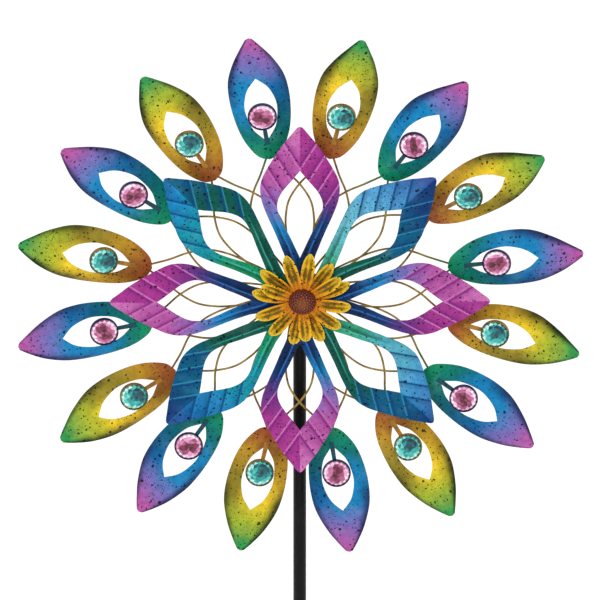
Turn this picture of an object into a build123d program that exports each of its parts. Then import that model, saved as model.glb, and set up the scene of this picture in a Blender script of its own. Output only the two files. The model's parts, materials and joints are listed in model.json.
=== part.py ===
"""A kinetic wind spinner on a garden stake.

Two wheels turn freely, one in front of the other, on a fixed axle at the top of a
slim pole. The rear wheel carries sixteen curved leaf-shaped vanes on ribbon-shaped
wire loops, each vane with a round glass jewel. The front wheel carries eight large
pierced leaf petals and a daisy. The pole comes in three sections and ends in a
ground fork with a step bar.

Frame: millimetres, +Z up, the ground line at z = 0 on the pole's axis, and the
wheels facing -Y. "Forward" is the distance in front of the pole's axis, so y is
minus forward.
"""

import os
from math import cos, radians, sin, tan

from build123d import *

# Height and stake
hub_height = 1420.0
spike_radius = 4.5
spike_depth = 180.0
prong_radius = 3.5
prong_depth = 150.0
prong_spacing = 110.0
step_length = 150.0
step_width = 25.0
step_thickness = 5.0
step_bottom = 8.0
step_corner = 8.0

# Pole
pole_radius = 7.0
pole_wall = 1.2
slide_fit = 0.05
coupler_heights = (500.0, 960.0)
collar_radius = 8.6
collar_height = 8.0
collar_rounding = 1.5
spigot_length = 45.0
head_radius = 9.5
head_rounding = 5.0
head_bottom = hub_height - 36.0
head_top = hub_height + 16.0
pole_top = hub_height - 12.0
boss_radius = 8.0
boss_reach = 10.0
set_screw_radius = 2.0
set_screw_offset = 14.0

# Axle and what it carries, all as distances forward of the pole's axis
axle_radius = 4.0
axle_back = -17.0
axle_shoulder = 43.4
axle_end_radius = 3.0
axle_front = 51.0
jam_nut_flats = 13.0
jam_nut_thickness = 4.0
running_gap = 0.4
running_fit = 0.04
washer_radius = 7.0
washer_thickness = 0.6
lock_nut_flats = 10.0
lock_nut_thickness = 5.5
bushing_radius = 6.0
bushing_length = 5.0
bushing_fit = 0.02

# Rear wheel
vane_count = 16
rear_hub_radius = 12.0
rear_hub_back = 15.0
rear_hub_front = 27.0
rear_flange_radius = 28.0
rear_flange_back = 20.9
rear_flange_front = 24.9
sheet = 1.0
vane_base = 160.0
vane_tip = 306.0
vane_half_width = 31.8
vane_widest = 234.0
vane_tip_radius = 5.3
vane_tip_angle = 31.0
vane_ridge_forward = 25.0
vane_ridge_offset = -8.0
vane_tight_radius = 35.0
vane_gentle_radius = 90.0
vane_lean = 2.2
vane_pitch = 6.0
eye_inner = 182.0
eye_outer = 258.0
eye_half_width = 17.0
jewel_distance = 213.0
jewel_radius = 14.0
bezel_radius = 15.5
bezel_wall = 1.4
bezel_rounding = 1.2
bezel_height = 4.6
bead_radius = 1.3
bead_count = 30
jewel_height = 5.4
stem_width = 4.8

# Wire loops of the rear wheel
wire_radius = 1.2
wire_forward = 22.9
wire_hairpin = 20.0
wire_belly = 15.0
wire_end_gap = 3.0

# Front wheel
petal_count = 8
front_hub_radius = 15.0
front_hub_back = 31.0
front_hub_front = 43.0
front_flange_radius = 30.0
front_flange_thickness = 3.0
petal_root = 13.5
petal_tip = 202.0
petal_half_width = 42.0
petal_widest = 128.0
petal_root_angle = 17.0
petal_fold_angle = 9.0
petal_flat_reach = 34.0
pierce_inner = 50.0
pierce_outer = 152.0
pierce_half_width = 24.2
rivet_circle = 24.0
rivet_radius = 1.6
rivet_head_radius = 3.0
rivet_head_thickness = 1.2
rivet_fit = 0.03

# Daisy
daisy_petals = 8
daisy_petal_width = 14.6
daisy_back_reach = 54.0
daisy_front_reach = 50.0
daisy_hole_radius = 8.0
daisy_screw_circle = 10.0
daisy_screw_count = 4
daisy_screw_start = 22.5
daisy_screw_radius = 1.3
daisy_screw_head_radius = 2.0
daisy_screw_head_thickness = 1.0
daisy_screw_depth = 8.0
dome_radius = 14.9
dome_height = 10.4
dome_wall = 1.5

os.makedirs("parts", exist_ok=True)


def save(shape, name):
    """Write one sub-part."""
    export_step(shape, f"parts/{name}.step")


def group(solids):
    """Several separate solids as one sub-part."""
    return Compound(children=list(solids))


def along_y(radius, back, front):
    """A round bar on the wheel axis between two distances forward of the pole."""
    return Pos(0, -(back + front) / 2, 0) * Rot(90, 0, 0) * Cylinder(radius, front - back)


def along_z(radius, bottom, top):
    """An upright round bar on the pole's axis."""
    return Pos(0, 0, (bottom + top) / 2) * Cylinder(radius, top - bottom)


def hexagon_along_y(flats, back, front):
    """A hexagonal prism on the wheel axis."""
    face = Plane.XZ * RegularPolygon(flats / 2, 6, major_radius=False)
    return Pos(0, -back, 0) * extrude(face, front - back)


def at_hub(shape):
    """Lift a piece drawn round the origin to the height of the axle."""
    return Pos(0, 0, hub_height) * shape


def on_wheel(shape, angle):
    """Turn a piece drawn pointing up to its angle, clockwise seen from the front."""
    return at_hub(Rot(0, angle, 0) * shape)


def around(shape, circle, count, start=0.0):
    """Copies of a piece drawn on the axle, spread evenly on a circle."""
    step = 360 / count
    return [Rot(0, start + k * step, 0) * Pos(0, 0, circle) * shape for k in range(count)]


def flat_face(right_side):
    """A face symmetric about the vertical, from its right-hand edges."""
    left_side = [mirror(edge, about=Plane.YZ) for edge in right_side]
    return make_face(right_side + left_side)


def upright(x, z):
    """A point of a wheel outline: x to the right, z outward from the axle."""
    return Vector(x, 0, z)


# Stake and ground fork


def pointed_rod(radius, depth, top):
    """A rod with a conical point at the bottom."""
    point_length = 5 * radius
    shank = along_z(radius, point_length - depth, top)
    point = Pos(0, 0, point_length / 2 - depth) * Cone(0.6, radius, point_length)
    return shank + point


pole_bore = pole_radius - pole_wall
spigot_radius = pole_bore - slide_fit
step_top = step_bottom + step_thickness
spike = pointed_rod(spike_radius, spike_depth, step_bottom)
spike += along_z(spigot_radius, step_bottom, step_top + spigot_length)
prong = pointed_rod(prong_radius, prong_depth, step_bottom)
side_prongs = [Pos(side * prong_spacing / 2, 0, 0) * prong for side in (-1, 1)]
step_bar = Pos(0, 0, step_bottom + step_thickness / 2) * Box(
    step_length, step_width, step_thickness
)
step_bar = fillet(step_bar.edges().filter_by(Axis.Z), step_corner)
step_bar -= along_z(pole_bore, step_bottom - 1, step_top + 1)
save(group(side_prongs), "side_prongs")
save(step_bar, "step_bar")

# Pole sections, couplers, head and set screws

screw_tip = pole_bore - 1.5


def set_screw_hole(height):
    """The hole a set screw needs, entering from behind."""
    hole_radius = set_screw_radius + slide_fit
    return Pos(0, 0, height) * along_y(hole_radius, -head_radius - 1, -screw_tip)


def set_screw(height, outside_radius):
    """A headed set screw entering from behind, its head on the outside."""
    shank = along_y(set_screw_radius, -outside_radius - 0.5, -screw_tip)
    knob = along_y(2 * set_screw_radius, -outside_radius - 3, -outside_radius)
    return Pos(0, 0, height) * (shank + knob)


def pole_section(bottom, top, screw_height):
    """A length of tube with one set-screw hole."""
    tube = along_z(pole_radius, bottom, top) - along_z(pole_bore, bottom, top)
    return tube - set_screw_hole(screw_height)


half_collar = collar_height / 2
low_joint, high_joint = coupler_heights
low_screw = low_joint + half_collar + set_screw_offset
high_screw = high_joint + half_collar + set_screw_offset
head_screw = head_bottom + set_screw_offset
spike_screw = step_top + set_screw_offset
spike_hole = set_screw_hole(spike_screw)
save(spike - spike_hole, "ground_spike")
save(pole_section(step_top, low_joint - half_collar, spike_screw), "lower_pole")
save(pole_section(low_joint + half_collar, high_joint - half_collar, low_screw), "middle_pole")
upper_pole = pole_section(high_joint + half_collar, pole_top, high_screw)
save(upper_pole - set_screw_hole(head_screw), "upper_pole")

couplers = []
for joint, screw_height in ((low_joint, low_screw), (high_joint, high_screw)):
    reach = half_collar + spigot_length
    spigot = along_z(spigot_radius, joint - reach, joint + reach)
    collar = along_z(collar_radius, joint - half_collar, joint + half_collar)
    collar = fillet(collar.edges().filter_by(GeomType.CIRCLE), collar_rounding)
    couplers.append(spigot + collar - set_screw_hole(screw_height))
save(group(couplers), "pole_couplers")

pole_head = along_z(head_radius, head_bottom, head_top)
pole_head = fillet(pole_head.edges().group_by(Axis.Z)[-1], head_rounding)
pole_head += at_hub(along_y(boss_radius, -boss_reach, boss_reach))
pole_head -= along_z(pole_radius + slide_fit, head_bottom, pole_top)
pole_head -= at_hub(along_y(axle_radius + slide_fit, -boss_reach, boss_reach))
save(pole_head - set_screw_hole(head_screw), "pole_head")

set_screws = [set_screw(height, pole_radius) for height in (spike_screw, low_screw, high_screw)]
set_screws.append(set_screw(head_screw, head_radius))
save(group(set_screws), "set_screws")

# Axle, its nuts, washers and collar

axle = along_y(axle_radius, axle_back, axle_shoulder)
axle += along_y(axle_end_radius, axle_shoulder, axle_front)
axle_ends = axle.edges().filter_by(GeomType.CIRCLE).sort_by(Axis.Y)
axle = chamfer([axle_ends[0], axle_ends[-1]], 0.6)
save(at_hub(axle), "axle")

front_jam = boss_reach + jam_nut_thickness
axle_hole = along_y(axle_radius + slide_fit, axle_back, axle_shoulder)
back_nut = hexagon_along_y(jam_nut_flats, -front_jam, -boss_reach) - axle_hole
front_nut = hexagon_along_y(jam_nut_flats, boss_reach, front_jam) - axle_hole
save(group([at_hub(back_nut), at_hub(front_nut)]), "axle_nuts")

thrust_washer = along_y(washer_radius, front_jam, front_jam + washer_thickness) - axle_hole
save(at_hub(thrust_washer), "thrust_washer")

collar_back = rear_hub_front + running_gap
collar_front = front_hub_back - running_gap
middle_collar = along_y(washer_radius, collar_back, collar_front) - axle_hole
save(at_hub(middle_collar), "middle_collar")

end_hole = along_y(axle_end_radius + slide_fit, axle_shoulder, axle_front + 1)
nut_back = axle_shoulder + washer_thickness
end_washer = along_y(washer_radius - 1, axle_shoulder, nut_back) - end_hole
lock_nut = hexagon_along_y(lock_nut_flats, nut_back, nut_back + lock_nut_thickness) - end_hole
save(at_hub(end_washer), "end_washer")
save(at_hub(lock_nut), "lock_nut")

# Hubs and their bushings


def bushing_pair(back, front):
    """A plain bushing at each end of a hub, turning on the axle."""
    bore = along_y(axle_radius + running_fit, back, front)
    back_bushing = along_y(bushing_radius, back, back + bushing_length) - bore
    front_bushing = along_y(bushing_radius, front - bushing_length, front) - bore
    return group([at_hub(back_bushing), at_hub(front_bushing)])


hub_bore_radius = bushing_radius + bushing_fit
rear_hub = along_y(rear_hub_radius, rear_hub_back, rear_hub_front)
rear_hub += along_y(rear_flange_radius, rear_flange_back, rear_flange_front)
rear_hub -= along_y(hub_bore_radius, rear_hub_back, rear_hub_front)
save(at_hub(rear_hub), "rear_hub")
save(bushing_pair(rear_hub_back, rear_hub_front), "rear_bushings")

flange_back = front_hub_front - front_flange_thickness
petal_front = front_hub_front + sheet
rivet_hole = along_y(rivet_radius + rivet_fit, flange_back - 1, petal_front + 1)
screw_hole = along_y(
    daisy_screw_radius + rivet_fit, front_hub_front - daisy_screw_depth, petal_front + 4
)
front_hub = along_y(front_hub_radius, front_hub_back, front_hub_front)
front_hub += along_y(front_flange_radius, flange_back, front_hub_front)
front_hub -= along_y(hub_bore_radius, front_hub_back, front_hub_front)
front_hub -= around(rivet_hole, rivet_circle, petal_count)
front_hub -= around(screw_hole, daisy_screw_circle, daisy_screw_count, daisy_screw_start)
save(at_hub(front_hub), "front_hub")
save(bushing_pair(front_hub_back, front_hub_front), "front_bushings")

# Wire loops: each a ribbon crossing over on its way to two neighbouring vanes


def wire_leg():
    """Half a loop, from the middle of its hairpin to the back of a vane."""
    vane_angle = radians(180 / vane_count)
    end_x = (vane_base + 4) * sin(vane_angle) - wire_end_gap
    end_z = (vane_base + 4) * cos(vane_angle)
    path = FilletPolyline(
        upright(0, wire_hairpin),
        upright(2.6, wire_hairpin),
        upright(wire_belly - 1, 72),
        upright(wire_belly, 106),
        upright(-end_x, end_z),
        radius=2.4,
    )
    section = Plane(origin=path @ 0, z_dir=path % 0) * Circle(wire_radius)
    return sweep(section, path)


leg = wire_leg()
loop = leg + mirror(leg, about=Plane.YZ)
loop = Pos(0, -wire_forward, 0) * loop
loops = [on_wheel(loop, k * 360 / vane_count) for k in range(vane_count)]
save(group(loops), "wire_loops")

# Vanes, bent lengthwise over an off-centre ridge


def curved_band():
    """The bent sheet a vane is cut from: two arcs sharing the ridge."""
    reach = 40
    ridge = -vane_ridge_forward
    tight = vane_tight_radius
    gentle = vane_gentle_radius
    tight_centre = Pos(vane_ridge_offset, ridge + tight)
    gentle_centre = Pos(vane_ridge_offset, ridge + gentle)
    tight_half = Pos(vane_ridge_offset - reach / 2, ridge + tight / 2) * Rectangle(reach, tight)
    gentle_half = Pos(vane_ridge_offset + reach, ridge + tight / 2) * Rectangle(2 * reach, tight)
    tight_ring = tight_centre * Circle(tight) - tight_centre * Circle(tight - sheet)
    gentle_ring = gentle_centre * Circle(gentle) - gentle_centre * Circle(gentle - sheet)
    profile = (tight_ring & tight_half) + (gentle_ring & gentle_half)
    return Pos(0, 0, vane_base - 10) * extrude(profile, vane_tip - vane_base + 20)


def vane_outline():
    """A leaf with a rounded base and a blunt point."""
    angle = radians(vane_tip_angle)
    tip_centre = vane_tip - vane_tip_radius
    shoulder = upright(vane_tip_radius * cos(angle), tip_centre + vane_tip_radius * sin(angle))
    side = Spline(
        upright(0, vane_base),
        upright(0.7 * vane_half_width, vane_base + 22),
        upright(vane_half_width, vane_widest),
        upright(0.66 * vane_half_width, vane_tip - 28),
        shoulder,
        tangents=[(1, 0, 0), (-sin(angle), 0, cos(angle))],
    )
    middle = vane_tip_radius * cos(radians(60))
    tip = ThreePointArc(
        shoulder,
        upright(middle, tip_centre + vane_tip_radius * sin(radians(60))),
        upright(0, vane_tip),
    )
    return flat_face([side, tip])


def vane_eye():
    """The pointed opening a jewel stands in."""
    side = Spline(
        upright(0, eye_inner),
        upright(0.7 * eye_half_width, eye_inner + 16),
        upright(eye_half_width, eye_inner + 42),
        upright(0.58 * eye_half_width, eye_outer - 12),
        upright(0, eye_outer),
    )
    return flat_face([side])


def cut_through(face):
    """A face of a wheel outline as a deep block, for cutting a bent sheet."""
    return extrude(face, 80, both=True)


def leaning(shape):
    """Lean a vane, or what it carries, clockwise and forward over its base."""
    turn = Rot(0, vane_lean, 0) * Rot(vane_pitch, 0, 0)
    to_base = Pos(0, -vane_ridge_forward, vane_base)
    from_base = Pos(0, vane_ridge_forward, -vane_base)
    return to_base * turn * from_base * shape


blade = curved_band() & cut_through(vane_outline()) - cut_through(vane_eye())
stem_bottom = eye_inner - 4
stem_centre = (stem_bottom + jewel_distance) / 2
seat_middle = sheet / 2 - vane_ridge_forward
stem = Pos(0, seat_middle, stem_centre) * Box(stem_width, sheet, jewel_distance - stem_bottom)
seat = along_y(bezel_radius, vane_ridge_forward - sheet, vane_ridge_forward)
vane = leaning(blade + stem + Pos(0, 0, jewel_distance) * seat)

vane_step = 360 / vane_count
for k in range(vane_count // 2):
    blue_angle = (2 * k - 0.5) * vane_step
    gold_angle = (2 * k + 0.5) * vane_step
    save(on_wheel(vane, blue_angle), f"blue_vane_{k + 1}")
    save(on_wheel(vane, gold_angle), f"gold_vane_{k + 1}")

# Jewels and their bezels

bezel_front = vane_ridge_forward + bezel_height
bezel_bore = along_y(bezel_radius - bezel_wall, vane_ridge_forward, bezel_front)
smooth_bezel = along_y(bezel_radius, vane_ridge_forward, bezel_front)
smooth_bezel = fillet(smooth_bezel.edges().group_by(Axis.Y)[0], bezel_rounding) - bezel_bore

bead_circle = bezel_radius - bead_radius
beads = [loc * Circle(bead_radius) for loc in PolarLocations(bead_circle, bead_count)]
beaded_face = Plane.XZ * (Circle(bezel_radius - 1) + beads)
beaded_bezel = Pos(0, -vane_ridge_forward, 0) * extrude(beaded_face, bezel_height) - bezel_bore


def jewel(sides):
    """A cut glass jewel with a flat back, a crown of facets and a small table."""
    girdle = Plane.XZ * RegularPolygon(jewel_radius, sides)
    base_height = 0.4 * jewel_height
    base = extrude(girdle, base_height)
    crown = extrude(Pos(0, -base_height, 0) * girdle, jewel_height - base_height, taper=62)
    return Pos(0, -vane_ridge_forward, 0) * (base + crown)


jewel_count = vane_count // 2
for colour, half_step, bezel, gem in (
    ("pink", -0.5, smooth_bezel, jewel(12)),
    ("teal", 0.5, beaded_bezel, jewel(16)),
):
    start = half_step * vane_step
    bezels = around(leaning(Pos(0, 0, jewel_distance) * bezel), 0, jewel_count, start)
    gems = around(leaning(Pos(0, 0, jewel_distance) * gem), 0, jewel_count, start)
    save(group(at_hub(piece) for piece in bezels), f"{colour}_bezels")
    save(group(at_hub(piece) for piece in gems), f"{colour}_jewels")

# Front petals, folded lengthwise, with a flat root riveted to the hub


def petal_outline():
    """A broad leaf that narrows to a straight-sided root."""
    root_slope = tan(radians(petal_root_angle))
    neck = 52.0
    tip = upright(0, petal_tip)
    side = Spline(
        upright(neck * root_slope, neck),
        upright(0.6 * petal_half_width, 77),
        upright(petal_half_width, petal_widest),
        upright(0.52 * petal_half_width, 173),
        tip,
        tangents=[(root_slope, 0, 1), (-0.75, 0, 1)],
    )
    root = Line(upright(petal_root * root_slope, petal_root), upright(neck * root_slope, neck))
    bottom = Line(upright(0, petal_root), upright(petal_root * root_slope, petal_root))
    return flat_face([bottom, root, side])


def petal_piercing():
    """The pointed opening through the middle of a petal."""
    side = Spline(
        upright(0, pierce_inner),
        upright(0.55 * pierce_half_width, pierce_inner + 25),
        upright(pierce_half_width, pierce_inner + 61),
        upright(0.69 * pierce_half_width, pierce_outer - 23),
        upright(0, pierce_outer),
    )
    return flat_face([side])


def folded_sheet():
    """A sheet with its ridge along the middle and both sides leaning back."""
    reach = 60
    drop = reach * tan(radians(petal_fold_angle))
    ridge = -petal_front
    profile = Polyline(
        (0, ridge),
        (reach, ridge + drop),
        (reach, ridge + drop + sheet),
        (0, ridge + sheet),
        (-reach, ridge + drop + sheet),
        (-reach, ridge + drop),
        (0, ridge),
    )
    return Pos(0, 0, petal_flat_reach) * extrude(make_face(profile), petal_tip)


flat_middle = -front_hub_front - sheet / 2
flat_sheet = Pos(0, flat_middle, petal_flat_reach / 2) * Box(60, sheet, petal_flat_reach)
petal_shape = cut_through(petal_outline()) - cut_through(petal_piercing())
petal = petal_shape & (folded_sheet() + flat_sheet)
petal -= Pos(0, 0, rivet_circle) * rivet_hole

petal_step = 360 / petal_count
for k in range(petal_count // 2):
    save(on_wheel(petal, 2 * k * petal_step), f"magenta_petal_{k + 1}")
    save(on_wheel(petal, (2 * k + 1) * petal_step), f"teal_petal_{k + 1}")

rivet_shank = along_y(rivet_radius, flange_back - rivet_head_thickness, petal_front)
rivet_head = along_y(rivet_head_radius, flange_back - rivet_head_thickness, flange_back)
rivets = around(rivet_shank + rivet_head, rivet_circle, petal_count)
save(group(at_hub(rivet) for rivet in rivets), "petal_rivets")

# Daisy: two layers of petals and a seed head, screwed to the front hub


def daisy_layer(reach, back, first_angle):
    """A ring of round-ended straps joined at the middle."""
    half = daisy_petal_width / 2
    strap = Pos(0, (reach - half) / 2) * Rectangle(daisy_petal_width, reach - half)
    strap += Pos(0, reach - half) * Circle(half)
    step = 360 / daisy_petals
    straps = [Rot(0, 0, first_angle + k * step) * strap for k in range(daisy_petals)]
    face = Circle(1.3 * dome_radius) + straps - Circle(daisy_hole_radius)
    layer = Pos(0, -back, 0) * extrude(Plane.XZ * face, sheet)
    return layer - around(screw_hole, daisy_screw_circle, daisy_screw_count, daisy_screw_start)


daisy_middle = petal_front + sheet
daisy_front = daisy_middle + sheet
save(at_hub(daisy_layer(daisy_back_reach, petal_front, 22.5)), "flower_back")
save(at_hub(daisy_layer(daisy_front_reach, daisy_middle, 0)), "flower_front")

screw_shank = along_y(daisy_screw_radius, front_hub_front - daisy_screw_depth, daisy_front)
screw_head = along_y(
    daisy_screw_head_radius, daisy_front, daisy_front + daisy_screw_head_thickness
)
daisy_screws = around(screw_shank + screw_head, daisy_screw_circle, daisy_screw_count, daisy_screw_start)
save(group(at_hub(screw) for screw in daisy_screws), "flower_screws")


sphere_radius = (dome_radius**2 + dome_height**2) / (2 * dome_height)
sphere_forward = daisy_front + dome_height - sphere_radius
dome = Sphere(sphere_radius) - Sphere(sphere_radius - dome_wall)
dome = Pos(0, -sphere_forward, 0) * dome
dome &= along_y(sphere_radius, daisy_front, daisy_front + dome_height)
save(at_hub(dome), "flower_centre")
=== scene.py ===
import json
from math import cos, pi, radians, sin

import bmesh
import bpy
import numpy as np
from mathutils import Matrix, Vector


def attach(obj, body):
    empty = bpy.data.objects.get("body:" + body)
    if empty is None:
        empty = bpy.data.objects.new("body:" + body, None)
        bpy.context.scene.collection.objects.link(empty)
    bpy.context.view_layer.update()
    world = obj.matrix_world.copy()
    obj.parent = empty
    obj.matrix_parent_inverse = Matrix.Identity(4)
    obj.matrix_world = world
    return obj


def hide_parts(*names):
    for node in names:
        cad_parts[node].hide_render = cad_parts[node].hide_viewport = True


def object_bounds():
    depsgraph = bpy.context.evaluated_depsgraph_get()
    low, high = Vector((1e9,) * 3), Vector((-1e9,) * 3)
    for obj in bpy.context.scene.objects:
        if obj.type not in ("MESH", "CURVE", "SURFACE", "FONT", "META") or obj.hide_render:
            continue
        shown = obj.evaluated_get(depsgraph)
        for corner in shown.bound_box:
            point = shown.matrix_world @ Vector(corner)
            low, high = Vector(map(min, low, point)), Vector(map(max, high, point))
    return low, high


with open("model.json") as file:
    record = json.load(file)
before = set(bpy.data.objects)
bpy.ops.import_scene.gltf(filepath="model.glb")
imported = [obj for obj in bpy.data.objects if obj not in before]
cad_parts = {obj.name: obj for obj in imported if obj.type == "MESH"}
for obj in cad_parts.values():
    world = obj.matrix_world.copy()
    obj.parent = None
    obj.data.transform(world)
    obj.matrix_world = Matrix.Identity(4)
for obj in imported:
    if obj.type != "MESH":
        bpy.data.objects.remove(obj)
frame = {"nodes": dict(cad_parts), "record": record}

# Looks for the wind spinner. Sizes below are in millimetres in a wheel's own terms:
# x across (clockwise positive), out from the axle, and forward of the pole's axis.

cad_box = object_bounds()
millimetre = 0.001
hub_height = 1.420
sheet = 1.0

vane_count = 16
vane_step = 360 / vane_count
vane_base = 160.0
vane_tip = 306.0
vane_ridge_forward = 25.0
vane_ridge_x = -8.0
vane_tight_radius = 35.0
vane_gentle_radius = 90.0
vane_pitch = 6.0
vane_lean = 2.2
jewel_out = 213.0
petal_count = 8
petal_step = 360 / petal_count
petal_tip = 202.0
petal_forward = 44.0
petal_flat_reach = 34.0
petal_fold = np.tan(radians(9.0))
daisy_back_forward = 44.0
daisy_front_forward = 45.2
dome_radius = 14.9
dome_height = 9.0

# The flower is screwed on a little off centre and is open round the axle's end
flower_offset = (2.4, 2.2)
daisy_hole_radius = 9.8
strap_start = 10.5
seed_base_forward = 47.4
seed_hollow_radius = 9.4
seed_hollow_forward = 51.6


# Placing and making meshes


def wheel_points(x, out, forward, angle):
    """Frame points from wheel terms, turned to an angle clockwise from the top."""
    a = radians(angle)
    across = out * np.sin(a) + x * np.cos(a)
    up = out * np.cos(a) - x * np.sin(a)
    points = np.column_stack([across, -forward, up]) * millimetre
    return points + [0, 0, hub_height]


def leaning(x, out, forward):
    """A vane's points tilted forward, then clockwise, over its base."""
    tilt, a = radians(vane_pitch), radians(vane_lean)
    above, ahead = out - vane_base, forward - vane_ridge_forward
    raised = above * cos(tilt) - ahead * sin(tilt)
    forward = vane_ridge_forward + ahead * cos(tilt) + above * sin(tilt)
    return x * cos(a) + raised * sin(a), vane_base + raised * cos(a) - x * sin(a), forward


def smooth_curve(points, count):
    """Points spread evenly along a smooth curve through the given ones."""
    given = np.array(points, float)
    ends = [2 * given[0] - given[1]], [2 * given[-1] - given[-2]]
    padded = np.vstack([ends[0], given, ends[1]])
    fine = []
    for a, b, c, d in zip(padded, padded[1:], padded[2:], padded[3:]):
        for u in np.linspace(0, 1, 24, endpoint=False):
            cubic = (3 * b - a - 3 * c + d) * u**3
            fine.append(0.5 * (2 * b + (c - a) * u + (2 * a - 5 * b + 4 * c - d) * u**2 + cubic))
    fine = np.array(fine + [given[-1]])
    steps = np.linalg.norm(np.diff(fine, axis=0), axis=1)
    length = np.concatenate([[0], np.cumsum(steps)])
    even = np.linspace(0, length[-1], count)
    return np.column_stack([np.interp(even, length, fine[:, k]) for k in range(fine.shape[1])])


class Build:
    """The points, faces and point attributes of one mesh piece."""

    def __init__(self):
        self.points = []
        self.faces = []
        self.attributes = {}
        self.face_values = []

    def add(self, points, faces, face_values=None, **attributes):
        """Append one closed shell."""
        start = sum(len(p) for p in self.points)
        self.points.append(np.asarray(points, float))
        self.faces += [tuple(start + k for k in face) for face in faces]
        if face_values is not None:
            self.face_values += list(face_values)
        for key, values in attributes.items():
            self.attributes.setdefault(key, []).append(np.asarray(values, float))

    def piece(self, name, material, body, slot, replaces=(), sharp=35):
        """Make the object and tie it to the frame."""
        mesh = bpy.data.meshes.new(name)
        mesh.from_pydata(np.vstack(self.points).tolist(), [], self.faces)
        for key, parts in self.attributes.items():
            if parts[0].ndim == 1:
                layer = mesh.attributes.new(key, "FLOAT", "POINT")
                layer.data.foreach_set("value", np.concatenate(parts))
            else:
                layer = mesh.attributes.new(key, "FLOAT_VECTOR", "POINT")
                layer.data.foreach_set("vector", np.vstack(parts).ravel())
        if self.face_values:
            layer = mesh.attributes.new("glint", "FLOAT", "FACE")
            layer.data.foreach_set("value", self.face_values)
        shell = bmesh.new()
        shell.from_mesh(mesh)
        bmesh.ops.recalc_face_normals(shell, faces=shell.faces)
        shell.to_mesh(mesh)
        shell.free()
        mesh.shade_smooth()
        mesh.set_sharp_from_angle(angle=radians(sharp))
        mesh.materials.append(material)
        made = bpy.data.objects.new(name, mesh)
        bpy.context.scene.collection.objects.link(made)
        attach(made, body)
        if replaces:
            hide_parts(*replaces)
        return made


def ring_faces(rows, columns):
    """Quads of a closed band, front and back, joined along both of its edges."""
    faces = []
    back = (rows + 1) * columns
    for i in range(columns):
        n = (i + 1) % columns
        for j in range(rows):
            a, b = j * columns + i, j * columns + n
            c, d = a + columns, b + columns
            faces.append((a, b, d, c))
            faces.append((back + a, back + c, back + d, back + b))
        top = rows * columns
        faces.append((i, back + i, back + n, n))
        faces.append((top + i, top + n, back + top + n, back + top + i))
    return faces


def full_loop(side):
    """A closed loop from its right-hand side, base to tip."""
    left = side[::-1][1:-1] * [-1, 1]
    return np.vstack([side, left])


def lathe(profile, segments, bumps=0, bump_height=0.0):
    """A ring turned about the forward axis: points (x, out, forward) and faces."""
    profile = np.array(profile, float)
    turn = np.linspace(0, 2 * pi, segments, endpoint=False)
    swell = bump_height * (np.abs(np.cos(bumps * turn / 2)) - 0.6)
    middle = profile.mean(axis=0)
    points = []
    for angle, grow in zip(turn, swell):
        away = profile - middle
        away /= np.linalg.norm(away, axis=1)[:, None]
        ring = profile + away * grow
        points.append(np.column_stack([ring[:, 0] * sin(angle), ring[:, 0] * cos(angle), ring[:, 1]]))
    count = len(profile)
    faces = []
    for i in range(segments):
        n = (i + 1) % segments
        for k in range(count):
            m = (k + 1) % count
            faces.append((i * count + k, n * count + k, n * count + m, i * count + m))
    return np.vstack(points), faces


# Node materials


def linear(code):
    """A hex colour as the linear values Blender works in."""
    parts = [int(code[k : k + 2], 16) / 255 for k in (0, 2, 4)]
    return [p / 12.92 if p <= 0.04045 else ((p + 0.055) / 1.055) ** 2.4 for p in parts] + [1.0]


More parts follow.
